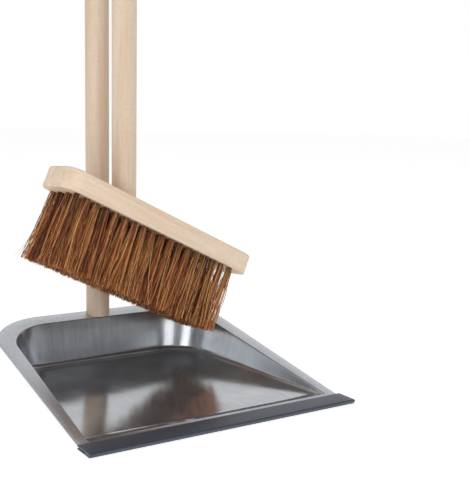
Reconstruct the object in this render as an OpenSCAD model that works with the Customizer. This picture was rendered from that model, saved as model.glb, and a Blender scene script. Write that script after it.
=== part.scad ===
// Standing dust pan and brush set.
// A pressed steel pan with a rubber lip stands on the floor and carries an upright wooden handle.
// The brush has its own, longer handle with a crossbar fixed to it. A socket in the underside of the
// crossbar drops over the tip of the pan handle, so the brush hangs above the pan.
// Millimetres, +Z up, mouth of the pan towards -Y, origin in the middle of the pan's underside.

/* [Pan] */
// Width over the flanges at the lip
pan_w_front = 215; // [170:1:260]
// Width over the flanges at the back
pan_w_back = 203; // [160:1:250]
// Length of the rim, from the front crease to the back edge
pan_len = 203.4; // [165:0.2:250]
// Height of the rim at the back
pan_h = 39; // [30:1:60]
// Sheet thickness
sheet_t = 0.8; // [0.6:0.1:1.2]
// Width of the back flange
back_flange = 15.4; // [13:0.2:22]
// Width of a side flange at the back
side_flange_back = 11; // [8:0.5:14]
// Width of a side flange at the lip
side_flange_front = 8.5; // [6:0.5:14]
// Plan radius of the outer back corners
corner_r = 50; // [35:1:65]
// Plan radius of the tray's own back corners, where they meet the flange
tray_corner_r = 42; // [28:1:55]
// Radius of the bend between the floor and the back wall
fold_r = 12; // [6:1:16]
// Lean of the side walls from upright
side_draft = 14; // [5:1:20]
// Lean of the back wall from upright
back_draft = 9; // [4:1:16]

/* [Rubber lip] */
// Length of the lip across the pan
lip_w = 217; // [170:1:270]
// How far the lip stands out in front of the crease
lip_depth = 21; // [17:0.5:28]
// Height of the lip's top face
lip_h = 3.2; // [2.6:0.1:4.5]
// Length of sheet gripped inside the lip
lip_grip = 11; // [8:0.5:13]
// Thickness of rubber under the sheet
lip_sole = 1; // [0.8:0.1:1.4]

/* [Handles] */
// Diameter of both handles
handle_d = 20; // [16:0.5:25]
// Distance from the pan's back edge to the axis of its handle
handle_inset = 5.6; // [5:0.2:9]
// Gap between the two handles
handle_gap = 24; // [12:1:40]
// Height of the crossbar's axis above the floor
crossbar_z = 800; // [640:5:960]
// Length of brush handle above the crossbar's axis
grip_h = 200; // [150:5:260]
// Rounding of the brush handle's top edge
grip_round = 4; // [1:0.5:6]
// Turn of the whole brush about the pan handle, as it hangs
brush_turn = 4; // [-8:1:8]

/* [Crossbar] */
// Wood of the crossbar on each side of the brush handle
crossbar_cheek = 4.5; // [3.5:0.5:8]
// Wood of the crossbar in front of the brush handle
crossbar_nose = 4; // [4:0.5:10]
// Length of the crossbar behind the pan handle's axis
crossbar_tail = 37; // [26:1:60]
// Rounding of the crossbar's ends
crossbar_round = 3.5; // [1:0.5:3.5]
// Step from the pan handle's side in to its tip
tip_step = 2.3; // [1:0.1:3.5]
// Length over which the pan handle narrows to its tip
taper_len = 28; // [15:1:45]
// Depth of the socket above the crossbar's lowest line
socket_depth = 18; // [12:0.5:21]
// Radial clearance between the tip and its socket
socket_play = 0.3; // [0.2:0.05:0.6]
// Diameter of the dowel that locks the crossbar to the brush handle
pin_d = 4; // [3:0.5:5]

/* [Brush head] */
// Length of the wooden block
block_l = 198.6; // [160:0.2:238]
// Width of the block
block_w = 48; // [40:1:60]
// Thickness of the block
block_t = 17.4; // [15:0.2:22]
// Plan radius of the block's corners
block_corner_r = 13; // [6:0.5:16]
// Easing of the block's top edges; its lower edges have half of it
block_ease = 1.6; // [0.6:0.2:3]
// Distance from the block's high end to the handle
block_high = 65; // [50:0.2:80]
// Slope of the block, its long axis against the floor
block_tilt = 25.8; // [22:0.2:32]
// Lean of the block, its bristles towards the pan's mouth
block_lean = 4; // [0:0.5:8]
// Height of the block's top face above the pan, at the axis of the brush handle
block_above = 103.4; // [98:0.2:135]
// Depth of the handle's seat, square to the block's top
seat_depth = 8.5; // [7:0.5:10]

/* [Bristles] */
// Length of the bristles outside the block
bristle_l = 58.5; // [45:0.5:60]
// Radius of a tuft hole
tuft_r = 2.5; // [1.8:0.1:2.8]
// Depth of a tuft hole
tuft_depth = 7; // [5:0.5:7.5]
// Spacing of the tufts along the block
tuft_pitch = 9.7; // [8.5:0.1:12]
// Distance from the block's high end to the nearest tuft axis
tuft_end = 13.7; // [9:0.1:16]
// Distance from the block's side to the outer rows
tuft_side = 6; // [5:0.5:9]

/* [Hidden] */
$fn = 64;

steel = "#6b6e73";
rubber = "#454b5a";
beech = "#e3cdb4";
fibre = "#8a5228";
wire = "#a8abb0";

eps = 0.01;
rough_fn = 32;

// Pan: the top of the rim is one sloping plane from the crease up to the back edge
ramp_len = 2.5;
y_crease = -pan_len / 2;
y_back = pan_len / 2;
rim_front_z = lip_sole + sheet_t;
rim_slope = (pan_h - rim_front_z) / pan_len;
rim_tilt = atan(rim_slope);
rim_run = pan_len / cos(rim_tilt);
function rim_z(y) = rim_front_z + (y - y_crease) * rim_slope;

// Tray: half widths of the floor, so that each leaning wall meets its flange
cut_z = pan_h + 8;
y_tray = y_crease + ramp_len;
y_wall = y_back - back_flange;
y_floor = y_wall - (rim_z(y_wall) - sheet_t) * tan(back_draft);
half_front = pan_w_front / 2 - side_flange_front - (rim_z(y_tray) - sheet_t) * tan(side_draft);
half_back = pan_w_back / 2 - side_flange_back - (pan_h - sheet_t) * tan(side_draft);
function tray_half(y) = half_front + (half_back - half_front) * (y - y_tray) / (y_back - y_tray);
floor_corner_r = tray_corner_r - pan_h * tan((side_draft + back_draft) / 2);
top_corner_r = tray_corner_r + (cut_z - pan_h) * tan((side_draft + back_draft) / 2);

// Handles
handle_r = handle_d / 2;
handle_spacing = handle_d + handle_gap;
tip_r = handle_r - tip_step;
crossbar_d = handle_d + 2 * crossbar_cheek;
crossbar_front = handle_r + crossbar_nose;
crossbar_len = crossbar_front + handle_spacing + crossbar_tail;
handle_y = y_back - handle_inset;
foot_z = rim_z(handle_y);
tip_z = crossbar_z - crossbar_d / 2 + socket_depth;
tip_ease = 1.2;
tip_len = socket_depth + 3;
pin_len = crossbar_front + handle_r + 6;
handle_top = crossbar_z + grip_h;

// Screw through the back flange into the foot of the pan handle
foot_screw_r = 2;
foot_screw_len = 20;
foot_head_r = 4.2;
foot_head_h = 2.4;
foot_hole_play = 0.2;

block_z = pan_h + block_above;

// Screw through the block into the end of the brush handle
neck_screw_r = 1.75;
neck_screw_len = 20;
neck_head_r = 3.4;
neck_head_h = 2;

// Tufts: rows across the block and columns along it, seen from the seat of the handle
tuft_play = 0.1;
anchor_t = 1.2;
rows = 4;
columns = floor((block_l - 2 * tuft_end) / tuft_pitch) + 1;
first_x = -block_high + tuft_end;
row_pitch = (block_w - 2 * tuft_side) / (rows - 1);
function tuft_x(i) = first_x + i * tuft_pitch;
function tuft_y(row) = -block_w / 2 + tuft_side + (row - 1) * row_pitch;
// The neck screw stands midway between two columns, as near the middle of the seat as they allow
seat_x = seat_depth * tan(block_tilt);
screw_x = tuft_x(round((seat_x / 3 - first_x) / tuft_pitch - 0.5) + 0.5);

// Outline of the rim: straight front, leaning sides, rounded back corners; y runs back from the crease
function rim_outline(w0, w1, len, r) =
    let (lean = atan((w0 - w1) / 2 / len),
         cx = w0 / 2 - (w0 - w1) / 2 * (len - r) / len - r / cos(lean),
         arc = [for (k = [0 : 16]) let (a = lean + (90 - lean) * k / 16) [cx + r * cos(a), len - r + r * sin(a)]])
    concat([[w0 / 2, 0]], arc, [for (k = [16 : -1 : 0]) [-arc[k][0], arc[k][1]]], [[-w0 / 2, 0]]);

// Puts its children on the rim's top plane, y running up the slope from the crease
module on_rim() {
    translate([0, y_crease, rim_front_z]) rotate([rim_tilt, 0, 0]) children();
}

// Everything under the rim's top plane
module under_rim() {
    on_rim() translate([-pan_w_front, -40, -200]) cube([2 * pan_w_front, rim_run + 80, 200]);
}

// Solid form of the tray; grow = 0 is its inside, grow = sheet_t its outside
module tray_form(grow, front) {
    side_grow = grow / cos(side_draft);
    rise = cut_z - sheet_t;
    y_top = y_floor + rise * tan(back_draft);
    top_half = tray_half(y_top) + rise * tan(side_draft);
    floor_half = tray_half(y_floor);
    hull() {
        for (s = [-1, 1]) {
            translate([s * (floor_half - floor_corner_r), y_floor - floor_corner_r, sheet_t + fold_r])
                rotate_extrude($fn = rough_fn)
                    translate([floor_corner_r - fold_r, 0]) circle(r = fold_r + grow, $fn = rough_fn);
            translate([s * (top_half - top_corner_r), y_top - top_corner_r, cut_z])
                cylinder(r = top_corner_r + grow, h = eps, $fn = 2 * rough_fn);
            translate([s * (half_front + side_grow) - eps / 2, front, sheet_t - grow])
                cube(eps);
            translate([s * (half_front + side_grow + rise * tan(side_draft)) - eps / 2, front, cut_z])
                cube(eps);
        }
    }
}

// Step in the sheet that lifts its front edge on to the sole of the lip
module front_step() {
    ramp_half = half_front + sheet_t;
    rotate([90, 0, 90]) translate([0, 0, -ramp_half]) linear_extrude(2 * ramp_half)
        polygon([[y_tray + eps, 0], [y_tray + eps, sheet_t], [y_crease, rim_front_z],
                 [y_crease, lip_sole]]);
    translate([-pan_w_front / 2, y_crease - lip_grip, lip_sole])
        cube([pan_w_front, lip_grip + eps, sheet_t]);
}

// Room above the step, between the side flanges
module step_clearance() {
    rotate([90, 0, 90]) translate([0, 0, -half_front]) linear_extrude(2 * half_front)
        polygon([[y_tray + 2 * eps, sheet_t], [y_tray + 2 * eps, cut_z], [y_crease - eps, cut_z],
                 [y_crease - eps, rim_front_z]]);
}

module foot_screw_shape(play) {
    translate([0, 0, -sheet_t - foot_head_h]) cylinder(r = foot_head_r, h = foot_head_h);
    translate([0, 0, -sheet_t - eps]) cylinder(r = foot_screw_r + play, h = foot_screw_len + sheet_t + eps);
}

// Puts its children on the flange, where the pan handle's axis meets it
module at_foot() {
    translate([0, handle_y, foot_z]) rotate([rim_tilt, 0, 0]) children();
}

module dust_pan() {
    color(steel) difference() {
        union() {
            on_rim() translate([0, 0, -sheet_t]) linear_extrude(sheet_t)
                polygon(rim_outline(pan_w_front, pan_w_back, rim_run, corner_r));
            intersection() {
                tray_form(sheet_t, y_tray);
                under_rim();
            }
            front_step();
        }
        tray_form(0, y_tray - eps);
        step_clearance();
        at_foot() foot_screw_shape(foot_hole_play);
    }
}

module rubber_lip() {
    groove = 0.9;
    tip = 0.6;
    back = 1;
    front = lip_depth;
    profile = [[-back, rim_front_z], [-back - groove, lip_h], [-front * 0.72, lip_h],
               [-front * 0.72 - groove, lip_h - groove], [-front * 0.72 - 2 * groove, lip_h - groove / 3],
               [-front + tip / 2, tip], [-front, tip / 2], [-front + tip, 0], [-back, 0],
               [-back, lip_sole], [-lip_grip, lip_sole], [-lip_grip, rim_front_z]];
    color(rubber) translate([0, y_crease, 0]) rotate([90, 0, 90]) translate([0, 0, -lip_w / 2])
        linear_extrude(lip_w) polygon(profile);
}

module pan_handle() {
    color(beech) difference() {
        translate([0, handle_y, 0]) rotate_extrude()
            polygon([[0, 0], [handle_r, 0], [handle_r, tip_z - tip_len - taper_len],
                     [tip_r, tip_z - tip_len], [tip_r, tip_z - tip_ease], [tip_r - tip_ease, tip_z], [0, tip_z]]);
        under_rim();
        at_foot() foot_screw_shape(0);
    }
}

module pan_handle_screw() {
    color(wire) at_foot() foot_screw_shape(0);
}

// Brush frame: z is the pan handle's axis, the brush handle stands handle_spacing in front of it
module brush_frame() {
    translate([0, handle_y, 0]) rotate([0, 0, brush_turn]) children();
}

// Block frame: origin where the brush handle's axis meets the block's top, x down the slope
module block_frame() {
    brush_frame() translate([0, -handle_spacing, block_z]) rotate([-block_lean, block_tilt, 0]) children();
}

// A round bar along z whose ends are rounded
module rounded_bar(r, len, round_bottom, round_top) {
    steps = 8;
    low = [for (k = [0 : steps]) let (a = -90 + 90 * k / steps)
           [r - round_bottom + round_bottom * cos(a), round_bottom + round_bottom * sin(a)]];
    high = [for (k = [0 : steps]) let (a = 90 * k / steps)
            [r - round_top + round_top * cos(a), len - round_top + round_top * sin(a)]];
    rotate_extrude() polygon(concat([[0, 0]], low, high, [[0, len]]));
}

module pin_shape() {
    translate([0, -handle_spacing - crossbar_front, crossbar_z]) rotate([-90, 0, 0])
        cylinder(d = pin_d, h = pin_len);
}

module crossbar() {
    color(beech) brush_frame() difference() {
        translate([0, -handle_spacing - crossbar_front, crossbar_z]) rotate([-90, 0, 0])
            rounded_bar(crossbar_d / 2, crossbar_len, crossbar_round, crossbar_round);
        translate([0, -handle_spacing, crossbar_z - crossbar_d]) cylinder(r = handle_r, h = 2 * crossbar_d);
        translate([0, 0, crossbar_z - crossbar_d]) cylinder(r = tip_r + socket_play, h = tip_z - crossbar_z + crossbar_d);
        pin_shape();
    }
}

module crossbar_pin() {
    color(beech) brush_frame() pin_shape();
}

module neck_screw_shape() {
    translate([screw_x, 0, -block_t]) {
        cylinder(r1 = neck_head_r, r2 = neck_screw_r, h = neck_head_h);
        cylinder(r = neck_screw_r, h = neck_screw_len);
    }
}

// Space above the seat that is cut into the block for the brush handle
module above_seat() {
    translate([-2 * handle_d, -handle_d, -seat_depth]) cube([4 * handle_d, 2 * handle_d, 4 * handle_d]);
}

module brush_handle() {
    color(beech) difference() {
        brush_frame() translate([0, -handle_spacing, block_z - handle_d])
            rounded_bar(handle_r, handle_top - block_z + handle_d, eps, grip_round);
        block_frame() translate([-2 * handle_d, -handle_d, -seat_depth - 3 * handle_d])
            cube([4 * handle_d, 2 * handle_d, 3 * handle_d]);
        block_frame() neck_screw_shape();
        brush_frame() pin_shape();
    }
}

module brush_block() {
    r = block_corner_r;
    color(beech) block_frame() difference() {
        hull() {
            for (x = [-block_high + r, block_l - block_high - r]) {
                for (y = [-block_w / 2 + r, block_w / 2 - r]) {
                    translate([x, y, -block_t])
                        rounded_bar(r, block_t, block_ease / 2, block_ease, $fn = rough_fn);
                }
            }
        }
        intersection() {
            rotate([block_lean, 0, 0]) rotate([0, -block_tilt, 0]) translate([0, 0, -handle_d])
                cylinder(r = handle_r, h = 4 * handle_d);
            above_seat();
        }
        neck_screw_shape();
        for (row = [1 : rows]) {
            for (i = [0 : columns - 1]) {
                translate([tuft_x(i), tuft_y(row), -block_t - eps])
                    cylinder(r = tuft_r, h = tuft_depth + eps, $fn = rough_fn);
            }
        }
    }
}

module block_screw() {
    color(wire) block_frame() neck_screw_shape();
}

// One row of bristle tufts; the bristles start at the anchors in the bottom of their holes
module tuft_row(row) {
    color(fibre) block_frame() for (i = [0 : columns - 1]) {
        translate([tuft_x(i), tuft_y(row), -block_t - bristle_l])
            cylinder(r = tuft_r - tuft_play, h = bristle_l + tuft_depth - anchor_t, $fn = rough_fn);
    }
}

// Wire anchors that hold one row of tufts in the block
module tuft_anchors(row) {
    color(wire) block_frame() for (i = [0 : columns - 1]) {
        translate([tuft_x(i), tuft_y(row), -block_t + tuft_depth - anchor_t])
            cylinder(r = tuft_r - 2 * tuft_play, h = anchor_t, $fn = rough_fn);
    }
}

dust_pan();
rubber_lip();
pan_handle();
pan_handle_screw();
crossbar();
crossbar_pin();
brush_handle();
brush_block();
block_screw();
tuft_row(1);  // tuft_row_1
tuft_row(2);  // tuft_row_2
tuft_row(3);  // tuft_row_3
tuft_row(4);  // tuft_row_4
tuft_anchors(1);  // tuft_anchors_1
tuft_anchors(2);  // tuft_anchors_2
tuft_anchors(3);  // tuft_anchors_3
tuft_anchors(4);  // tuft_anchors_4
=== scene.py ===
"""Standing dust pan and brush set: finishes and fine shapes round the CAD frame.

The add-on's operators make one piece or group of like pieces each: the pan's pressed sheet, its rubber
lip, the wooden parts, the bristles, the metal fasteners and the studio. Lengths are in metres.
"""

import math

import bmesh
import bpy
from bpy.props import FloatProperty, FloatVectorProperty, IntProperty, PointerProperty
from mathutils import Matrix, Vector


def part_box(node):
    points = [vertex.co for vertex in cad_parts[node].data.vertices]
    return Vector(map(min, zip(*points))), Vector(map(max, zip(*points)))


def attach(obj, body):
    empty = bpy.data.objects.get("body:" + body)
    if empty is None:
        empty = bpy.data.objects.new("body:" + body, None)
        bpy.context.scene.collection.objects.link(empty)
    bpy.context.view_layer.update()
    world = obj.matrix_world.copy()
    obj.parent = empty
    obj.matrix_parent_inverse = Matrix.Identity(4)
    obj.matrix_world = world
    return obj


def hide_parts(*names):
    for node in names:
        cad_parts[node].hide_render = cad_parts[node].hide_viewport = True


bl_info = {
    "name": "Dust pan and brush set",
    "version": (1, 0, 0),
    "blender": (4, 5, 0),
    "location": "View3D > Sidebar > Sweeping set",
    "description": "Builds the visible pieces of a standing dust pan and brush set",
    "category": "Object",
}

MM = 0.001
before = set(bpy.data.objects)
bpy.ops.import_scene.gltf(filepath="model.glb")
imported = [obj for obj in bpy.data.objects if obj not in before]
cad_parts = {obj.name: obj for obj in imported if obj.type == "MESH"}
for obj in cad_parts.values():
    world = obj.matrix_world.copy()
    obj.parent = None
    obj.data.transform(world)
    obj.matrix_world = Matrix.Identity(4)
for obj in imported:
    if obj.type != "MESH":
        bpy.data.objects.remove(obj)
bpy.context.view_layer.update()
PAN_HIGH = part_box("dust_pan")[1]
LIP_LOW, LIP_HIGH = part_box("rubber_lip")
ROWS = range(1, 5)
# The walls are drawn up to a guide outline this far above the pan, and end where they meet the flange
GUIDE_ABOVE = 8 * MM
# Width and drop of the last step of the wall, where it runs out at the crease
CREASE_WIDTH = 0.3 * MM
CREASE_DROP = 0.02 * MM
# Steps along half the pan: a side, a corner and half the back
SIDE_STEPS, CORNER_STEPS, BACK_STEPS = 18, 26, 8
# Points of a section that lie on the flange
FLANGE_POINTS = 4


def linear(hex_colour):
    """Linear RGB of an sRGB colour written as #RRGGBB."""
    parts = [int(hex_colour[i:i + 2], 16) / 255 for i in (1, 3, 5)]
    return tuple(c / 12.92 if c <= 0.04045 else ((c + 0.055) / 1.055) ** 2.4 for c in parts)


def colour_prop(name, hex_colour, description):
    """A colour a user may change."""
    return FloatVectorProperty(name=name, description=description, subtype="COLOR", size=3,
                               min=0, max=1, default=linear(hex_colour))


def length_prop(name, millimetres, description):
    """A length a user may change."""
    return FloatProperty(name=name, description=description, unit="LENGTH", precision=5,
                         min=0, default=millimetres * MM)


class PanSettings(bpy.types.PropertyGroup):
    """Sizes and colours of the pressed pan."""
    sheet: length_prop("Sheet", 0.8, "Thickness of the sheet")
    lip_z: length_prop("Lip height", 1.8, "Height of the sheet's top where it enters the lip")
    lip_gap: length_prop("Gap", 1, "Length of flat sheet behind the lip")
    strip: length_prop("Strip", 3.6, "Length of the sloping strip in front of the crease")
    tongue: length_prop("Tongue", 11, "Length of sheet held in the lip")
    ramp: length_prop("Ramp", 2.5, "Length of the step behind the crease")
    width_back: length_prop("Back width", 203, "Width over the flanges at the back")
    flange_back: length_prop("Back flange", 15.4, "Width of the back flange")
    flange_side_back: length_prop("Side flange, back", 11, "Width of a side flange at the back")
    flange_side_front: length_prop("Side flange, front", 8.5, "Width of a side flange at the lip")
    corner: length_prop("Corner", 50, "Plan radius of the outer back corners")
    tray_corner: length_prop("Tray corner", 42, "Plan radius of the tray's back corners at the flange")
    fold: length_prop("Fold", 6, "Radius of the bend between the floor and the back wall")
    fold_front: length_prop("Front fold", 1.2, "Radius of the bend below a side wall at the lip")
    bend: length_prop("Bend", 1.0, "Radius of the bend between the walls and the flange")
    side_draft: FloatProperty(name="Side draft", description="Lean of the side walls from upright",
                              subtype="ANGLE", default=math.radians(14))
    back_draft: FloatProperty(name="Back draft", description="Lean of the back wall from upright",
                              subtype="ANGLE", default=math.radians(9))
    # Painted light and shade on the sheet: these tones scale the steel's colour, lighter on the flange, the
    # strip and the side walls, darker on the back wall
    flange_painted_light: FloatProperty(name="Flange tone", description="Lightness of the flange against the floor",
                               min=0, default=1.28)
    strip_painted_light: FloatProperty(name="Strip tone", description="Lightness of the strip before the crease",
                              min=0, default=1.1)
    side_painted_light: FloatProperty(name="Side tone", description="Lightness of the side walls", min=0, default=1.1)
    back_painted_shade: FloatProperty(name="Back tone", description="Lightness of the back wall", min=0, default=0.8)
    wall_dullness: FloatProperty(name="Wall dullness", description="Dullness of the walls; the flange has 1",
                                 subtype="FACTOR", min=0, max=1, default=0.6)
    steel: colour_prop("Steel", "#C0C3C7", "Lacquered steel sheet")
    steel_dark: colour_prop("Steel, dark", "#989BA0", "Steel sheet between the rolling marks")


class LipSettings(bpy.types.PropertyGroup):
    """Sizes and colour of the rubber lip."""
    slot_depth: length_prop("Slot", 12, "Depth of the slot that grips the sheet")
    back_slope: length_prop("Back slope", 0.9, "Length of the sloping back edge")
    groove_from: length_prop("Groove from", 18.6, "Distance from the back edge to the groove")
    undercut: length_prop("Undercut", 1.7, "How far the front face leans back at the floor")
    groove: length_prop("Groove", 0.45, "Depth of the groove behind the wiping edge")
    rounding: length_prop("Rounding", 0.35, "Rounding of the strip's edges")
    rubber: colour_prop("Rubber", "#353C4C", "Blue-grey rubber")


class WoodSettings(bpy.types.PropertyGroup):
    """Colours of the beech."""
    early: colour_prop("Early wood", "#E4D0BC", "Pale beech between the rings")
    late: colour_prop("Late wood", "#D7BB9D", "Darker beech in the rings")
    fleck: colour_prop("Flecks", "#A87B52", "Short ray flecks")
    handle_tone: FloatProperty(name="Handle tone", description="Lightness of the handles against the block",
                               min=0, max=1, default=0.85)


class BristleSettings(bpy.types.PropertyGroup):
    """Sizes, spread and colours of the plant fibre."""
    fibres: IntProperty(name="Fibres", description="Fibres in a tuft", min=1, default=76)
    thickness: length_prop("Thickness", 0.55, "Diameter of a fibre")
    root_radius: length_prop("Root radius", 2.3, "Radius of a tuft in its hole")
    spread_along: length_prop("Spread along", 3.6, "How far a tuft spreads along the block at its tips")
    spread_across: length_prop("Spread across", 4.8, "How far a tuft spreads across the block at its tips")
    stray: length_prop("Stray", 10.0, "How far the wildest fibres lean out of their tuft")
    lean: length_prop("Lean", 2.6, "How far whole tufts lean to one side at their tips")
    bow: length_prop("Bow", 1.7, "How far a fibre bows from a straight line")
    uneven: FloatProperty(name="Uneven", description="Share by which trimmed lengths differ",
                          subtype="FACTOR", min=0, max=1, default=0.02)
    seed: IntProperty(name="Seed", description="Seed of everything random in the tufts", default=7)
    dark: colour_prop("Dark fibre", "#381A09", "Darkest fibres")
    middle: colour_prop("Middle fibre", "#B15F29", "Most fibres")
    light: colour_prop("Light fibre", "#EFB873", "Lightest fibres")


class StudioSettings(bpy.types.PropertyGroup):
    """Camera, floor and light."""
    lens: FloatProperty(name="Lens", description="Focal length", subtype="DISTANCE_CAMERA", default=67.36)
    place: FloatVectorProperty(name="Camera", description="Place of the camera", subtype="XYZ", unit="LENGTH",
                               default=(-0.3439, -0.6340, 0.2231))
    azimuth: FloatProperty(name="Azimuth", description="Direction the camera looks in, from +Y",
                           subtype="ANGLE", default=math.radians(-33.65))
    pitch: FloatProperty(name="Pitch", description="How far the camera looks down", subtype="ANGLE",
                         default=math.radians(9.07))
    roll: FloatProperty(name="Roll", description="Turn of the camera about its own axis", subtype="ANGLE",
                        default=math.radians(1.17))
    floor: colour_prop("Floor", "#F3F3F2", "Plain pale floor")
    sky: FloatProperty(name="Surround", description="Strength of the white surround", min=0, default=1.0)
    front: FloatProperty(name="Front", description="Strength of the surround on the camera's side", min=0,
                         default=0.27)
    overhead: FloatProperty(name="Overhead", description="Share of the surround's strength left overhead",
                            min=0, default=0.4)
    floor_glow: FloatProperty(name="Floor glow", description="Light added by the backlit floor", min=0,
                              default=0.56)


class SweepingSetSettings(bpy.types.PropertyGroup):
    """All settings of the set."""
    pan: PointerProperty(type=PanSettings)
    lip: PointerProperty(type=LipSettings)
    wood: PointerProperty(type=WoodSettings)
    bristle: PointerProperty(type=BristleSettings)
    studio: PointerProperty(type=StudioSettings)


# Node trees and meshes

def add(tree, kind, inputs=None, **settings):
    """Adds a node, sets its settings, and fills its inputs with values or with other nodes' outputs."""
    made = tree.nodes.new(kind)
    for name, value in settings.items():
        setattr(made, name, value)
    for key, value in (inputs or {}).items():
        socket = made.inputs[key]
        if isinstance(value, bpy.types.NodeSocket):
            tree.links.new(value, socket)
        else:
            socket.default_value = value
    return made


def new_material(name):
    """A material with a Principled shader, and the shader itself."""
    material = bpy.data.materials.new(name)
    material.use_nodes = True
    tree = material.node_tree
    tree.nodes.clear()
    shader = add(tree, "ShaderNodeBsdfPrincipled")
    add(tree, "ShaderNodeOutputMaterial", {"Surface": shader.outputs[0]})
    return material, tree, shader


def ramp(tree, factor, stops):
    """A colour ramp with stops of (position, linear colour)."""
    made = add(tree, "ShaderNodeValToRGB", {0: factor})
    elements = made.color_ramp.elements
    while len(elements) < len(stops):
        elements.new(1)
    for element, (position, colour) in zip(elements, stops):
        element.position = position
        element.color = (*colour, 1)
    return made.outputs[0]


def mesh_of(work, name):
    """A mesh from finished bmesh work."""
    mesh = bpy.data.meshes.new(name)
    work.to_mesh(mesh)
    work.free()
    return mesh


def link_object(name, data):
    """A new object in the scene."""
    made = bpy.data.objects.new(name, data)
    bpy.context.scene.collection.objects.link(made)
    return made


def sharpen(mesh, degrees):
    """Smooth shading with sharp edges where the surface turns by more than the angle."""
    work = bmesh.new()
    work.from_mesh(mesh)
    for face in work.faces:
        face.smooth = True
    limit = math.radians(degrees)
    for edge in work.edges:
        edge.smooth = len(edge.link_faces) == 2 and edge.calc_face_angle(0) < limit
    work.to_mesh(mesh)
    work.free()


def ease_edges(piece, width):
    """Bevels the sharp edges of a piece."""
    edge = piece.modifiers.new("Edges", "BEVEL")
    edge.width = width
    edge.segments = 2
    edge.limit_method = "ANGLE"
    edge.angle_limit = math.radians(60)


def baked(piece):
    """Turns a piece's modifiers into plain mesh."""
    graph = bpy.context.evaluated_depsgraph_get()
    graph.update()
    mesh = bpy.data.meshes.new_from_object(piece.evaluated_get(graph), depsgraph=graph)
    piece.modifiers.clear()
    piece.data = mesh
    return piece


def fillet(before, corner, after, radius, steps):
    """Points of the arc that rounds a corner; the radius shrinks where the sides are short."""
    back, ahead = before - corner, after - corner
    # The arc may use just under half of each side
    reach = 0.49 * min(back.length, ahead.length)
    half = back.angle(ahead) / 2
    cut = min(radius / math.tan(half), reach)
    radius = cut * math.tan(half)
    back.normalize()
    ahead.normalize()
    centre = corner + (back + ahead).normalized() * (radius / math.sin(half))
    start = corner + back * cut - centre
    turn = math.pi - 2 * half
    axis = back.cross(ahead).normalized()
    return [centre + Matrix.Rotation(-turn * k / steps, 3, axis) @ start for k in range(steps + 1)]


def tangent_angle(point, centre, radius):
    """Angle on a circle where a line from a point outside, in front and to the right, touches it."""
    away = point - centre
    return math.atan2(away.y, away.x) + math.acos(radius / away.length)


def rounded_path(front, centre, radius, start, t):
    """Half an outline in plan: side line for t 0 to 1, corner arc to 2, back line to the middle at 3."""
    edge = centre + radius * Vector((math.cos(start), math.sin(start)))
    if t <= 1:
        return front.lerp(edge, t)
    if t <= 2:
        angle = start + (math.pi / 2 - start) * (t - 1)
        return centre + radius * Vector((math.cos(angle), math.sin(angle)))
    return Vector((centre.x * (3 - t), centre.y + radius))


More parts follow.
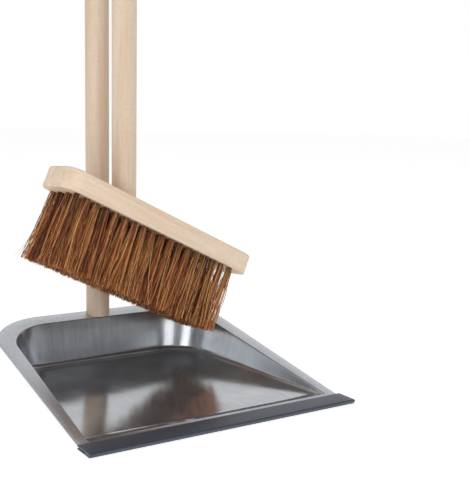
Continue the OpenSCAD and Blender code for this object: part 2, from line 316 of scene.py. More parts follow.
class PanForm:
    """The pan's guiding outlines, from its settings and the CAD box."""

    def __init__(self, pan):
        self.pan = pan
        half_width = PAN_HIGH.x
        self.front_y = LIP_HIGH.y + pan.lip_gap
        self.crease_y = self.front_y + pan.strip
        self.back_y = PAN_HIGH.y
        self.slope = (PAN_HIGH.z - pan.lip_z) / (self.back_y - self.front_y)
        rise = PAN_HIGH.z + GUIDE_ABOVE - pan.sheet
        self.top_z = pan.sheet + rise
        wall_y = self.back_y - pan.flange_back
        floor_y = wall_y - (self.rim_z(wall_y) - pan.sheet) * math.tan(pan.back_draft)
        tray_y = self.crease_y + pan.ramp
        lean_x = math.tan(pan.side_draft)
        front_x = half_width - pan.flange_side_front - (self.rim_z(tray_y) - pan.sheet) * lean_x
        back_x = pan.width_back / 2 - pan.flange_side_back - (PAN_HIGH.z - pan.sheet) * lean_x
        share = (floor_y - tray_y) / (self.back_y - tray_y)
        floor_x = front_x + (back_x - front_x) * share
        widen = math.tan((pan.side_draft + pan.back_draft) / 2)
        floor_r = pan.tray_corner - PAN_HIGH.z * widen
        top_r = pan.tray_corner + GUIDE_ABOVE * widen
        self.floor_front = Vector((front_x, tray_y))
        self.floor_centre = Vector((floor_x - floor_r, floor_y - floor_r))
        self.floor_r = floor_r
        top_x = floor_x + rise * lean_x
        top_y = floor_y + rise * math.tan(pan.back_draft)
        self.top_front = Vector((front_x + rise * lean_x, tray_y))
        self.top_centre = Vector((top_x - top_r, top_y - top_r))
        self.top_r = top_r
        side_lean = math.atan2(half_width - pan.width_back / 2, self.back_y - self.crease_y)
        corner_y = self.back_y - pan.corner
        side_x = half_width - math.tan(side_lean) * (corner_y - self.crease_y)
        self.rim_front = Vector((half_width, self.crease_y))
        self.rim_centre = Vector((side_x - pan.corner / math.cos(side_lean), corner_y))
        self.side_lean = side_lean

    def rim_z(self, y):
        """Height of the flange at a distance from the lip."""
        return self.pan.lip_z + (y - self.front_y) * self.slope

    def station(self, t):
        """Flange edge, flange bend, wall foot and the inward direction at one place round the pan."""
        pan = self.pan
        rim = rounded_path(self.rim_front, self.rim_centre, pan.corner, self.side_lean, t)
        floor_start = tangent_angle(self.floor_front, self.floor_centre, self.floor_r)
        floor = rounded_path(self.floor_front, self.floor_centre, self.floor_r, floor_start, t)
        top_start = tangent_angle(self.top_front, self.top_centre, self.top_r)
        top = rounded_path(self.top_front, self.top_centre, self.top_r, top_start, t)
        outer = Vector((rim.x, rim.y, self.rim_z(rim.y)))
        foot = Vector((floor.x, floor.y, pan.sheet))
        high = Vector((top.x, top.y, self.top_z))
        climb = (high - foot)
        share = (self.rim_z(foot.y) - foot.z) / (climb.z - self.slope * climb.y)
        inner = foot + climb * share
        inward = Vector((foot.x - high.x, foot.y - high.y, 0)).normalized()
        return outer, inner, foot, inward

    def section(self, t):
        """One section of the sheet's top side, from the flange's edge to the end of the fold."""
        pan = self.pan
        if t < 0:
            outer = Vector((self.rim_front.x, self.crease_y, self.rim_z(self.crease_y)))
            foot = Vector((self.floor_front.x, self.crease_y, outer.z - CREASE_DROP))
            inner = foot + Vector((CREASE_WIDTH, 0, CREASE_DROP))
            inward = Vector((-1, 0, 0))
        else:
            outer, inner, foot, inward = self.station(t)
        fold = pan.fold_front + (pan.fold - pan.fold_front) * min(1, max(0, t))
        bend = fillet(outer, inner, foot, pan.bend, 6)
        on_floor = foot + inward * 4 * pan.fold
        low = fillet(inner, foot, on_floor, fold, 10)
        # Two points part the wall's flat face in three
        middle = [bend[-1].lerp(low[0], share) for share in (0.33, 0.67)]
        flange = [outer, outer.lerp(bend[0], 0.5)]
        return flange + bend + middle + low


def pan_stations():
    """Places round half the pan: closer together in the corner."""
    side = [k / SIDE_STEPS for k in range(SIDE_STEPS)]
    corner = [1 + k / CORNER_STEPS for k in range(CORNER_STEPS)]
    back = [2 + k / BACK_STEPS for k in range(BACK_STEPS + 1)]
    return [-1] + side + corner + back


def pan_sheet_mesh(pan):
    """Top side of the pressed sheet, with a UV map that runs round the rim and down the wall. As attributes
    it carries the dullness of each part of the surface and its tone, which is painted light and shade: the
    flange, the strip and the side walls lighter, the back wall darker."""
    form = PanForm(pan)
    places = pan_stations()
    half = [form.section(t) for t in places]
    flip = Matrix.Diagonal((-1, 1, 1))
    rings = half + [[flip @ p for p in ring] for ring in reversed(half[:-1])]
    work = bmesh.new()
    layer = work.loops.layers.uv.new("Sheet")
    dull = work.verts.layers.float.new("dull")
    tone = work.verts.layers.float.new("tone")
    verts = [[work.verts.new(p) for p in ring] for ring in rings]
    round_length = [0]
    for before, after in zip(rings, rings[1:]):
        round_length.append(round_length[-1] + (after[2] - before[2]).length)
    uv_of = {}
    round_places = places + places[-2::-1]
    for ring, u, t in zip(verts, round_length, round_places):
        down = 0
        # Painted light on the side walls and painted shade on the back wall, blended round the corner
        wall_painted_light_and_shade = pan.side_painted_light + (pan.back_painted_shade - pan.side_painted_light) * min(1, max(0, t - 1))
        for k, vert in enumerate(ring):
            if k:
                down += (vert.co - ring[k - 1].co).length
            uv_of[vert] = (u, down)
            # The flange gets painted light, and the floor keeps the steel's own colour
            if k < FLANGE_POINTS:
                vert[dull], vert[tone] = 1, pan.flange_painted_light
            elif k < len(ring) - 1:
                vert[dull], vert[tone] = pan.wall_dullness, wall_painted_light_and_shade
            else:
                vert[dull], vert[tone] = 0, 1

    def face(corners, flat=False):
        made = work.faces.new(corners)
        for loop in made.loops:
            loop[layer].uv = loop.vert.co.xy if flat else uv_of[loop.vert]

    for ring, following in zip(verts, verts[1:]):
        for k in range(len(ring) - 1):
            face((ring[k], following[k], following[k + 1], ring[k + 1]))
    # Floor: strips between the two sides, and one face in the back
    count = len(verts)
    turn = places.index(2.0)
    for k in range(turn - 1):
        face((verts[k][-1], verts[k + 1][-1], verts[count - 2 - k][-1], verts[count - 1 - k][-1]), True)
    face([verts[k][-1] for k in range(turn - 1, count - turn + 1)], True)
    # Strip in front of the crease, and the tongue in the lip
    front = list(verts[0]) + list(reversed(verts[-1]))
    for y in (form.front_y, LIP_HIGH.y - pan.tongue):
        ahead = [work.verts.new((v.co.x, y, pan.lip_z)) for v in front]
        # Painted light on the strip and the tongue
        for vert in ahead:
            vert[dull], vert[tone] = 1, pan.strip_painted_light
        for k in range(len(front) - 1):
            face((front[k], front[k + 1], ahead[k + 1], ahead[k]), True)
        front = ahead
    bmesh.ops.recalc_face_normals(work, faces=work.faces)
    if sum(f.normal.z * f.calc_area() for f in work.faces) < 0:
        bmesh.ops.reverse_faces(work, faces=work.faces)
    return mesh_of(work, "pan_sheet")


# Finishes

def steel_finish(pan):
    """Cold-rolled steel sheet, pressed and clear-lacquered: dark and glossy on the floor, duller on the walls
    and the flange, with fine drawing marks down the walls and a faint unevenness that bends its reflections.
    The tone attribute paints light and shade into its colour: lighter on the flange, the strip and the side
    walls, darker on the back wall."""
    material, tree, shader = new_material("lacquered_pressed_steel")
    uv = add(tree, "ShaderNodeUVMap", uv_map="Sheet").outputs[0]
    place = add(tree, "ShaderNodeTexCoord").outputs["Object"]
    # Drawing marks 0.9 mm apart and 60 mm long
    marks_at = add(tree, "ShaderNodeMapping", {"Vector": uv, "Scale": (1 / 0.9 / MM, 1 / 60 / MM, 1)})
    marks = add(tree, "ShaderNodeTexNoise", {"Vector": marks_at.outputs[0], "Scale": 1.0, "Detail": 3.0,
                                             "Roughness": 0.6}).outputs["Fac"]
    # Faint clouds 25 mm across, where the lacquer lies thicker
    clouds = add(tree, "ShaderNodeTexNoise", {"Vector": place, "Scale": 1 / (25 * MM),
                                              "Detail": 2.0}).outputs["Fac"]
    mixed = add(tree, "ShaderNodeMath", {0: marks, 1: clouds}, operation="ADD").outputs[0]
    halved = add(tree, "ShaderNodeMath", {0: mixed, 1: 0.5}, operation="MULTIPLY").outputs[0]
    # Grain of the rolled surface, 0.8 mm, which the press leaves coarse on the flange
    dull = add(tree, "ShaderNodeAttribute", attribute_name="dull").outputs["Fac"]
    grain = add(tree, "ShaderNodeTexNoise", {"Vector": place, "Scale": 1 / (0.8 * MM),
                                             "Detail": 1.0}).outputs["Fac"]
    coarse = add(tree, "ShaderNodeMapRange", {"Value": dull, "From Min": 0.7}).outputs[0]
    grain_share = add(tree, "ShaderNodeMapRange", {"Value": coarse, "To Min": 0.2, "To Max": 0.8}).outputs[0]
    speckled = add(tree, "ShaderNodeMix", {0: grain_share, 2: halved, 3: grain}, data_type="FLOAT").outputs[0]
    shade = ramp(tree, speckled, [(0.35, pan.steel_dark), (0.65, pan.steel)])
    # Painted light and shade: the tone attribute makes the flange, the strip and the side walls lighter and
    # the back wall darker
    tone = add(tree, "ShaderNodeAttribute", attribute_name="tone").outputs["Fac"]
    painted_light_steel = add(tree, "ShaderNodeVectorMath", {0: shade, "Scale": tone}, operation="SCALE").outputs[0]
    tree.links.new(painted_light_steel, shader.inputs["Base Color"])
    gloss = add(tree, "ShaderNodeMapRange", {"Value": halved, "From Min": 0.35, "From Max": 0.65,
                                             "To Min": 0.09, "To Max": 0.15}).outputs[0]
    # Roughness that full dullness adds to the gloss of the floor
    dulled = add(tree, "ShaderNodeMath", {0: dull, 1: 0.18}, operation="MULTIPLY").outputs[0]
    rough = add(tree, "ShaderNodeMath", {0: gloss, 1: dulled}, operation="ADD").outputs[0]
    tree.links.new(rough, shader.inputs["Roughness"])
    shader.inputs["Metallic"].default_value = 0.82
    # Rolled sheet is never quite flat: swells 45 mm across
    swell = add(tree, "ShaderNodeTexNoise", {"Vector": place, "Scale": 1 / (45 * MM),
                                             "Detail": 1.0}).outputs["Fac"]
    wavy = add(tree, "ShaderNodeBump", {"Strength": 1.0, "Distance": 0.0002, "Height": swell})
    fine = add(tree, "ShaderNodeBump", {"Strength": 0.6, "Distance": 0.00003, "Height": marks,
                                        "Normal": wavy.outputs[0]})
    pitted = add(tree, "ShaderNodeBump", {"Strength": coarse, "Distance": 0.0001, "Height": grain,
                                          "Normal": fine.outputs[0]})
    tree.links.new(pitted.outputs[0], shader.inputs["Normal"])
    return material


def rubber_finish(lip):
    """Extruded blue-grey rubber: satin, with the faint lengthwise drag lines of the die."""
    material, tree, shader = new_material("extruded_rubber")
    place = add(tree, "ShaderNodeTexCoord").outputs["Object"]
    # Drag lines 40 mm long and 0.7 mm apart
    drag_at = add(tree, "ShaderNodeMapping", {"Vector": place,
                                              "Scale": (1 / 40 / MM, 1 / 0.7 / MM, 1 / 0.7 / MM)})
    drag = add(tree, "ShaderNodeTexNoise", {"Vector": drag_at.outputs[0], "Scale": 1.0,
                                            "Detail": 2.0}).outputs["Fac"]
    dark = tuple(c * 0.82 for c in lip.rubber)
    tree.links.new(ramp(tree, drag, [(0.3, dark), (0.7, tuple(lip.rubber))]), shader.inputs["Base Color"])
    shader.inputs["Roughness"].default_value = 0.42
    shader.inputs["Specular IOR Level"].default_value = 0.5
    bump = add(tree, "ShaderNodeBump", {"Strength": 0.3, "Distance": 0.00005, "Height": drag})
    tree.links.new(bump.outputs[0], shader.inputs["Normal"])
    return material


def beech_finish(name, wood, turn, tone=1.0):
    """Sanded, untreated beech. The grain runs along the piece's own X; turn brings it there. Beech
    shows soft rings, a fine lengthwise grain and short dark ray flecks 2 to 3 mm long."""
    material, tree, shader = new_material(name)
    place = add(tree, "ShaderNodeTexCoord").outputs["Object"]
    early, late = ([channel * tone for channel in colour] for colour in (wood.early, wood.late))

    def grain(length, width):
        return add(tree, "ShaderNodeMapping", {"Vector": place, "Rotation": turn,
                                               "Scale": (length * MM, width * MM, width * MM)},
                   vector_type="TEXTURE").outputs[0]

    rings = add(tree, "ShaderNodeTexNoise", {"Vector": grain(160, 7), "Scale": 1.0, "Detail": 3.0,
                                             "Roughness": 0.55, "Distortion": 0.3}).outputs["Fac"]
    fine = add(tree, "ShaderNodeTexNoise", {"Vector": grain(22, 0.7), "Scale": 1.0, "Detail": 3.0,
                                            "Roughness": 0.6}).outputs["Fac"]
    flecks = add(tree, "ShaderNodeTexNoise", {"Vector": grain(2.6, 0.45), "Scale": 1.0,
                                              "Detail": 1.0}).outputs["Fac"]
    both = add(tree, "ShaderNodeMix", {0: 0.35, 2: rings, 3: fine}, data_type="FLOAT").outputs[0]
    base = ramp(tree, both, [(0.33, late), (0.6, early)])
    fleck_share = add(tree, "ShaderNodeMapRange", {"Value": flecks, "From Min": 0.63, "From Max": 0.74,
                                                   "To Min": 0.0, "To Max": 0.45}).outputs[0]
    mixed = add(tree, "ShaderNodeMix", {0: fleck_share, 6: base, 7: (*wood.fleck, 1)}, data_type="RGBA")
    tree.links.new(mixed.outputs[2], shader.inputs["Base Color"])
    shader.inputs["Roughness"].default_value = 0.5
    shader.inputs["Specular IOR Level"].default_value = 0.35
    bump = add(tree, "ShaderNodeBump", {"Strength": 0.35, "Distance": 0.00008, "Height": fine})
    tree.links.new(bump.outputs[0], shader.inputs["Normal"])
    return material


def fibre_finish(bristle):
    """Stiff plant fibre, dried and dyed by its own tannin: each fibre has its own tone from dark brown to
    straw, with a waxy shine.
    Painted shade darkens each fibre towards its root, among the tufts under the block."""
    material, tree, shader = new_material("plant_fibre")
    tone = add(tree, "ShaderNodeAttribute", attribute_name="tone").outputs["Fac"]
    reach = add(tree, "ShaderNodeAttribute", attribute_name="reach").outputs["Fac"]
    shade = ramp(tree, tone, [(0.0, bristle.dark), (0.55, bristle.middle), (1.0, bristle.light)])
    # Painted shade: the colour falls to 0.42 of itself at the root, over the first 45 % of the fibre
    root = add(tree, "ShaderNodeMapRange", {"Value": reach, "From Min": 0.0, "From Max": 0.45,
                                            "To Min": 0.42, "To Max": 1.0}).outputs[0]
    painted_root_shade = add(tree, "ShaderNodeVectorMath", {0: shade, "Scale": root}, operation="SCALE")
    tree.links.new(painted_root_shade.outputs[0], shader.inputs["Base Color"])
    shader.inputs["Roughness"].default_value = 0.48
    shader.inputs["Specular IOR Level"].default_value = 0.45
    return material


def zinc_finish():
    """Zinc-plated steel wire and screws: pale, slightly cloudy metal."""
    material, tree, shader = new_material("zinc_plated_steel")
    place = add(tree, "ShaderNodeTexCoord").outputs["Object"]
    # Cloudiness of the plating, 1.5 mm across
    clouds = add(tree, "ShaderNodeTexNoise", {"Vector": place, "Scale": 1 / (1.5 * MM),
                                              "Detail": 2.0}).outputs["Fac"]
    tree.links.new(ramp(tree, clouds, [(0.3, linear("#8F9297")), (0.7, linear("#C3C5C8"))]),
                   shader.inputs["Base Color"])
    shader.inputs["Metallic"].default_value = 1.0
    shader.inputs["Roughness"].default_value = 0.35
    return material


def dress(node_names, material):
    """Gives CAD nodes a finish, in place of their plain material."""
    for name in node_names:
        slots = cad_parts[name].data.materials
        slots.clear()
        slots.append(material)


# Bristles

def tuft_axes(node):
    """Root and tip of every tuft in a CAD row: the ends of each separate solid's long axis."""
    work = bmesh.new()
    work.from_mesh(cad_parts[node].data)
    bmesh.ops.remove_doubles(work, verts=work.verts, dist=0.01 * MM)
    left = set(work.verts)
    axes = []
    while left:
        island = {left.pop()}
        edge = list(island)
        while edge:
            near = {e.other_vert(v) for v in edge for e in v.link_edges} & left
            left -= near
            island |= near
            edge = list(near)
        middle = sum((v.co for v in island), Vector()) / len(island)
        above = [v.co for v in island if v.co.z > middle.z]
        below = [v.co for v in island if v.co.z <= middle.z]
        axes.append((sum(above, Vector()) / len(above), sum(below, Vector()) / len(below)))
    work.free()
    return sorted(axes, key=lambda axis: axis[0].x)


def tuft_tree():
    """Geometry Nodes: one tuft of splayed, slightly bowed fibres at every vertex."""
    tree = bpy.data.node_groups.new("Bristle tufts", "GeometryNodeTree")
    sockets = (("Roots", "NodeSocketGeometry"), ("Fibres", "NodeSocketInt"), ("Down", "NodeSocketVector"),
               ("Along", "NodeSocketVector"), ("Across", "NodeSocketVector"),
               ("Root radius", "NodeSocketFloat"), ("Spread along", "NodeSocketFloat"),
               ("Spread across", "NodeSocketFloat"), ("Stray", "NodeSocketFloat"),
               ("Lean", "NodeSocketFloat"), ("Bow", "NodeSocketFloat"), ("Uneven", "NodeSocketFloat"),
               ("Thickness", "NodeSocketFloat"), ("Seed", "NodeSocketInt"), ("Finish", "NodeSocketMaterial"))
    for name, kind in sockets:
        tree.interface.new_socket(name=name, in_out="INPUT", socket_type=kind)
    tree.interface.new_socket(name="Tufts", in_out="OUTPUT", socket_type="NodeSocketGeometry")
    given = add(tree, "NodeGroupInput").outputs

    def math_of(operation, a, b=0.0):
        return add(tree, "ShaderNodeMath", {0: a, 1: b}, operation=operation).outputs[0]

    def times(vector, number):
        return add(tree, "ShaderNodeVectorMath", {0: vector, "Scale": number}, operation="SCALE").outputs[0]

    def plus(a, b):
        return add(tree, "ShaderNodeVectorMath", {0: a, 1: b}, operation="ADD").outputs[0]

    def seed(step):
        return add(tree, "FunctionNodeIntegerMath", {0: given["Seed"], 1: step}, operation="ADD").outputs[0]

    def chance(step, low=0.0, high=1.0):
        made = add(tree, "FunctionNodeRandomValue", {2: low, 3: high, "Seed": seed(step)}, data_type="FLOAT")
        return made.outputs[1]

    def sideways(step, amount, ident=None):
        """A random push along and across the row, not along the fibre."""
        inputs = {0: (-1, -1, 0), 1: (1, 1, 0), "Seed": seed(step)}
        if ident is not None:
            inputs["ID"] = ident
        push = add(tree, "FunctionNodeRandomValue", inputs, data_type="FLOAT_VECTOR").outputs[0]
        push = add(tree, "ShaderNodeSeparateXYZ", {0: times(push, amount)}).outputs
        return plus(times(given["Along"], push[0]), times(given["Across"], push[1]))

    def store(geometry, name, kind, value):
        return add(tree, "GeometryNodeStoreNamedAttribute",
                   {"Geometry": geometry, "Name": name, "Value": value},
                   data_type=kind, domain="POINT").outputs[0]

    def read(name, kind="FLOAT_VECTOR"):
        return add(tree, "GeometryNodeInputNamedAttribute", {"Name": name}, data_type=kind).outputs[0]

    points = add(tree, "GeometryNodeMeshToPoints", {0: given["Roots"]}).outputs[0]
    points = store(points, "tuft", "INT", add(tree, "GeometryNodeInputIndex").outputs[0])
    points = add(tree, "GeometryNodeDuplicateElements", {"Geometry": points, "Amount": given["Fibres"]},
                 domain="POINT").outputs[0]
    angle = chance(1, 0.0, 2 * math.pi)
    distance = math_of("SQRT", chance(2))
    along_share = math_of("MULTIPLY", distance, math_of("COSINE", angle))
    across_share = math_of("MULTIPLY", distance, math_of("SINE", angle))
    place = add(tree, "GeometryNodeInputPosition").outputs[0]
    in_hole = plus(times(given["Along"], math_of("MULTIPLY", along_share, given["Root radius"])),
                   times(given["Across"], math_of("MULTIPLY", across_share, given["Root radius"])))
    splay = plus(times(given["Along"], math_of("MULTIPLY", along_share, given["Spread along"])),
                 times(given["Across"], math_of("MULTIPLY", across_share, given["Spread across"])))
    # A few fibres stray far, most hardly at all
    wild = math_of("POWER", chance(3), 4.0)
    splay = plus(splay, sideways(4, math_of("MULTIPLY", wild, given["Stray"])))
    splay = plus(splay, sideways(5, given["Lean"], read("tuft", "INT")))
    trim = math_of("SUBTRACT", 1.0, math_of("MULTIPLY", chance(6), given["Uneven"]))
    points = store(points, "fibre_root", "FLOAT_VECTOR", plus(place, in_hole))
    points = store(points, "fibre_way", "FLOAT_VECTOR", times(given["Down"], trim))
    points = store(points, "fibre_splay", "FLOAT_VECTOR", splay)
    points = store(points, "fibre_bow", "FLOAT_VECTOR", sideways(7, given["Bow"]))
    points = store(points, "fibre_wave", "FLOAT_VECTOR", sideways(8, math_of("MULTIPLY", given["Bow"], 0.4)))
    tuft_tone = add(tree, "FunctionNodeRandomValue", {2: -0.12, 3: 0.12, "ID": read("tuft", "INT"),
                                                      "Seed": seed(10)}, data_type="FLOAT").outputs[1]
    points = store(points, "tone", "FLOAT", math_of("ADD", math_of("POWER", chance(9), 1.3), tuft_tone))
    line = add(tree, "GeometryNodeCurvePrimitiveLine", {"Start": (0, 0, 0), "End": (0, 0, 1)}).outputs[0]
    line = add(tree, "GeometryNodeResampleCurve", {"Curve": line, "Count": 8}).outputs[0]
    fibres = add(tree, "GeometryNodeInstanceOnPoints", {"Points": points, "Instance": line}).outputs[0]
    fibres = add(tree, "GeometryNodeRealizeInstances", {"Geometry": fibres}).outputs[0]
    reach = add(tree, "GeometryNodeSplineParameter").outputs["Factor"]
    fibres = store(fibres, "reach", "FLOAT", reach)
    reach = read("reach", "FLOAT")
    arc = math_of("SINE", math_of("MULTIPLY", reach, math.pi))
    wave = math_of("SINE", math_of("MULTIPLY", reach, 3 * math.pi))
    at = plus(read("fibre_root"), times(read("fibre_way"), reach))
    at = plus(at, times(read("fibre_splay"), math_of("POWER", reach, 1.8)))
    at = plus(at, plus(times(read("fibre_bow"), arc), times(read("fibre_wave"), wave)))
    fibres = add(tree, "GeometryNodeSetPosition", {"Geometry": fibres, "Position": at}).outputs[0]
    outline = add(tree, "GeometryNodeCurvePrimitiveCircle", {"Resolution": 4, "Radius": 0.5}).outputs[0]
    taper = math_of("SUBTRACT", 1.0, math_of("MULTIPLY", reach, 0.35))
    size = math_of("MULTIPLY", given["Thickness"], taper)
    mesh = add(tree, "GeometryNodeCurveToMesh", {"Curve": fibres, "Profile Curve": outline, "Scale": size,
                                                 "Fill Caps": True}).outputs[0]
    mesh = add(tree, "GeometryNodeRealizeInstances", {"Geometry": mesh}).outputs[0]
    mesh = add(tree, "GeometryNodeSetMaterial", {"Geometry": mesh, "Material": given["Finish"]}).outputs[0]
    add(tree, "NodeGroupOutput", {"Tufts": mesh})
    return tree


def grow_row(node, tree, bristle, finish, row):
    """The fibres of one CAD row of tufts."""
    axes = tuft_axes(node)
    down = axes[0][1] - axes[0][0]
    along = (axes[-1][0] - axes[0][0]).normalized()
    across = down.normalized().cross(along)
    mesh = bpy.data.meshes.new(node)
    mesh.from_pydata([root for root, tip in axes], [], [])
    piece = link_object(f"bristles_{row}", mesh)
    values = {"Fibres": bristle.fibres, "Down": down, "Along": along, "Across": across,
              "Root radius": bristle.root_radius, "Spread along": bristle.spread_along,
              "Spread across": bristle.spread_across, "Stray": bristle.stray, "Lean": bristle.lean,
              "Bow": bristle.bow, "Uneven": bristle.uneven, "Thickness": bristle.thickness,
              "Seed": bristle.seed + 100 * row, "Finish": finish}
    modifier = piece.modifiers.new("Tufts", "NODES")
    modifier.node_group = tree
    for item in tree.interface.items_tree:
        if item.in_out == "INPUT" and item.name in values:
            modifier[item.identifier] = values[item.name]
    baked(piece)
    return piece


# Operators: one for each piece or group of like pieces

class SWEEP_OT_pan(bpy.types.Operator):
    """Make the pressed steel sheet of the pan"""
    bl_idname = "sweep.pan"
    bl_label = "Pan"

    def execute(self, context):
        pan = context.scene.sweeping_set.pan
        piece = link_object("pan_sheet", pan_sheet_mesh(pan))
        piece.data.materials.append(steel_finish(pan))
        wall = piece.modifiers.new("Sheet", "SOLIDIFY")
        wall.thickness = pan.sheet
        wall.offset = -1
        ease_edges(piece, 0.18 * MM)
        baked(piece)
        sharpen(piece.data, 40)
        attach(piece, "pan")
        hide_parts("dust_pan")
        return {"FINISHED"}


class SWEEP_OT_lip(bpy.types.Operator):
    """Make the rubber lip"""
    bl_idname = "sweep.lip"
    bl_label = "Rubber lip"

    def execute(self, context):
        settings = context.scene.sweeping_set
        lip, pan = settings.lip, settings.pan
        back, front, top = LIP_HIGH.y, LIP_LOW.y, LIP_HIGH.z
        sheet_top, sheet_low = pan.lip_z, pan.lip_z - pan.sheet
        slot_end, groove_y, groove = back - lip.slot_depth, back - lip.groove_from, lip.groove
        outline = [(back, sheet_top), (back - lip.back_slope, top), (groove_y, top),
                   (groove_y - groove, top - groove), (groove_y - 2 * groove, top - groove / 3),
                   (front, top - groove), (front + lip.undercut, 0), (back, 0), (back, sheet_low),
                   (slot_end, sheet_low), (slot_end, sheet_top)]
        points = [Vector((0, y, z)) for y, z in outline]
        rounded = []
        for k, point in enumerate(points):
            following = points[(k + 1) % len(points)]
            rounded += fillet(points[k - 1], point, following, lip.rounding, 4)
        work = bmesh.new()
        low, high = LIP_LOW.x, LIP_HIGH.x
        steps = 24
        rings = [[work.verts.new((low + (high - low) * s / steps, p.y, p.z)) for p in rounded]
                 for s in range(steps + 1)]
        for ring, following in zip(rings, rings[1:]):
            for k in range(len(ring)):
                ahead = (k + 1) % len(ring)
                work.faces.new((ring[k], ring[ahead], following[ahead], following[k]))
        work.faces.new(reversed(rings[0]))
        work.faces.new(rings[-1])
        bmesh.ops.recalc_face_normals(work, faces=work.faces)
        piece = link_object("lip_strip", mesh_of(work, "lip_strip"))
        piece.data.materials.append(rubber_finish(lip))
        ease_edges(piece, 0.3 * MM)
        baked(piece)
        sharpen(piece.data, 35)
        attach(piece, "pan")
        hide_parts("rubber_lip")
        return {"FINISHED"}


class SWEEP_OT_wood(bpy.types.Operator):
    """Give the handles, the crossbar and the block their beech"""
    bl_idname = "sweep.wood"
    bl_label = "Wood"

    def execute(self, context):
        wood = context.scene.sweeping_set.wood
        upright = (0, math.radians(-90), 0)
        dress(("pan_handle", "brush_handle"), beech_finish("turned_beech", wood, upright, wood.handle_tone))
        roots = [root for root, tip in tuft_axes("tuft_row_1")]
        run = roots[-1] - roots[0]
        turn = math.atan2(run.y, run.x)
        fall = math.atan2(-run.z, math.hypot(run.x, run.y))
        dress(("brush_block",), beech_finish("planed_beech", wood, (0, fall, turn)))
        dress(("crossbar", "crossbar_pin"), beech_finish("crossbar_beech", wood, (0, 0, turn + math.pi / 2)))
        return {"FINISHED"}


class SWEEP_OT_bristles(bpy.types.Operator):
    """Grow the bristles, one piece for each row"""
    bl_idname = "sweep.bristles"
    bl_label = "Bristles"

    def execute(self, context):
        bristle = context.scene.sweeping_set.bristle
        tree = tuft_tree()
        finish = fibre_finish(bristle)
        for row in ROWS:
            node = f"tuft_row_{row}"
            piece = grow_row(node, tree, bristle, finish, row)
            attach(piece, "brush")
            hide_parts(node)
        return {"FINISHED"}


class SWEEP_OT_metal(bpy.types.Operator):
    """Give the screws and the tuft anchors their zinc"""
    bl_idname = "sweep.metal"
    bl_label = "Screws and anchors"

    def execute(self, context):
        anchors = [f"tuft_anchors_{row}" for row in ROWS]
        dress(["pan_handle_screw", "block_screw"] + anchors, zinc_finish())
        return {"FINISHED"}


def area_light(name, place, aim, size, power):
    """A soft rectangular light that faces a point; its power is in watts."""
    light = bpy.data.lights.new(name, "AREA")
    light.shape = "RECTANGLE"
    light.size, light.size_y = size
    light.energy = power
    made = link_object(name, light)
    made.location = place
    made.rotation_euler = (Vector(aim) - Vector(place)).to_track_quat("-Z", "Y").to_euler()


def studio_world(studio):
    """Surround that lights the set: white behind it, greyer on the camera's side and overhead. The
    backdrop itself is white."""
    world = bpy.data.worlds.new("studio")
    world.use_nodes = True
    tree = world.node_tree
    tree.nodes.clear()
    way = add(tree, "ShaderNodeTexCoord").outputs["Generated"]
    behind = (-math.sin(studio.azimuth), math.cos(studio.azimuth), 0)
    facing = add(tree, "ShaderNodeVectorMath", {0: way, 1: behind}, operation="DOT_PRODUCT").outputs["Value"]
    shade = add(tree, "ShaderNodeMapRange", {"Value": facing, "From Min": -0.5, "From Max": 0.5,
                                             "To Min": studio.front, "To Max": studio.sky}).outputs[0]
    height = add(tree, "ShaderNodeSeparateXYZ", {0: way}).outputs["Z"]
    overhead = add(tree, "ShaderNodeMapRange", {"Value": height, "From Min": 0.4, "From Max": 0.9,
                                                "To Min": 1.0, "To Max": studio.overhead}).outputs[0]
    strength = add(tree, "ShaderNodeMath", {0: shade, 1: overhead}, operation="MULTIPLY").outputs[0]
    surround = add(tree, "ShaderNodeBackground", {"Color": (1, 1, 1, 1), "Strength": strength}).outputs[0]
    backdrop = add(tree, "ShaderNodeBackground", {"Color": (1, 1, 1, 1), "Strength": 1.0}).outputs[0]
    seen = add(tree, "ShaderNodeLightPath").outputs["Is Camera Ray"]
    mixed = add(tree, "ShaderNodeMixShader", {0: seen, 1: surround, 2: backdrop}).outputs[0]
    add(tree, "ShaderNodeOutputWorld", {"Surface": mixed})
    return world


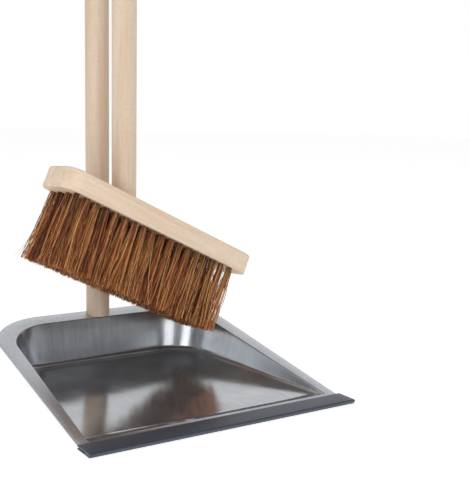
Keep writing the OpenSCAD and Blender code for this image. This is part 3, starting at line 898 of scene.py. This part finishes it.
class SWEEP_OT_stage(bpy.types.Operator):
    """Set up the floor, the light and the camera"""
    bl_idname = "sweep.stage"
    bl_label = "Stage"

    def execute(self, context):
        studio = context.scene.sweeping_set.studio
        scene = context.scene
        work = bmesh.new()
        # A round floor 12 m across
        bmesh.ops.create_circle(work, cap_ends=True, segments=64, radius=6.0)
        floor = link_object("studio_floor", mesh_of(work, "studio_floor"))
        # Just under the pan, so that the two surfaces don't coincide
        floor.location.z = -0.1 * MM
        material, tree, shader = new_material("pale_floor")
        shader.inputs["Base Color"].default_value = (*studio.floor, 1)
        shader.inputs["Roughness"].default_value = 0.8
        shader.inputs["Emission Color"].default_value = (1, 1, 1, 1)
        shader.inputs["Emission Strength"].default_value = studio.floor_glow
        floor.data.materials.append(material)
        scene.world = studio_world(studio)
        area_light("left_light", (-1.3, -0.75, 0.5), (0, 0, 0.1), (0.6, 0.7), 5)
        area_light("front_light", (-0.3, -1.6, 0.4), (0, 0, 0.1), (0.8, 0.7), 5)
        area_light("top_light", (-0.7, -1.3, 1.9), (0, 0, 0.2), (1.8, 1.4), 15)
        scene.view_settings.view_transform = "Standard"
        lens = bpy.data.cameras.new("camera")
        lens.lens = studio.lens
        lens.clip_start = 0.01
        camera = link_object("camera", lens)
        az, el, ro = studio.azimuth, studio.pitch, studio.roll
        back = Vector((math.sin(az) * math.cos(el), -math.cos(az) * math.cos(el), math.sin(el)))
        level = Vector((math.cos(az), math.sin(az), 0))
        rise = back.cross(level)
        right = level * math.cos(ro) + rise * math.sin(ro)
        up = rise * math.cos(ro) - level * math.sin(ro)
        turn = Matrix((right, up, back)).transposed().to_4x4()
        camera.matrix_world = Matrix.Translation(Vector(studio.place)) @ turn
        scene.camera = camera
        return {"FINISHED"}


OPERATORS = (SWEEP_OT_stage, SWEEP_OT_pan, SWEEP_OT_lip, SWEEP_OT_wood, SWEEP_OT_bristles, SWEEP_OT_metal)


class SWEEP_PT_set(bpy.types.Panel):
    """Panel that lists the pieces of the set"""
    bl_label = "Sweeping set"
    bl_idname = "SWEEP_PT_set"
    bl_space_type = "VIEW_3D"
    bl_region_type = "UI"
    bl_category = "Sweeping set"

    def draw(self, context):
        for operator in OPERATORS:
            self.layout.operator(operator.bl_idname)
        settings = context.scene.sweeping_set
        for group in (settings.pan, settings.lip, settings.wood, settings.bristle, settings.studio):
            box = self.layout.box()
            for name in group.__annotations__:
                box.prop(group, name)


CLASSES = (PanSettings, LipSettings, WoodSettings, BristleSettings, StudioSettings, SweepingSetSettings,
           *OPERATORS, SWEEP_PT_set)


def register():
    for cls in CLASSES:
        bpy.utils.register_class(cls)
    bpy.types.Scene.sweeping_set = PointerProperty(type=SweepingSetSettings)


def unregister():
    del bpy.types.Scene.sweeping_set
    for cls in reversed(CLASSES):
        bpy.utils.unregister_class(cls)


def main():
    register()
    bpy.ops.sweep.stage()
    bpy.ops.sweep.pan()
    bpy.ops.sweep.lip()
    bpy.ops.sweep.wood()
    bpy.ops.sweep.bristles()
    bpy.ops.sweep.metal()


if __name__ == "__main__":
    main()
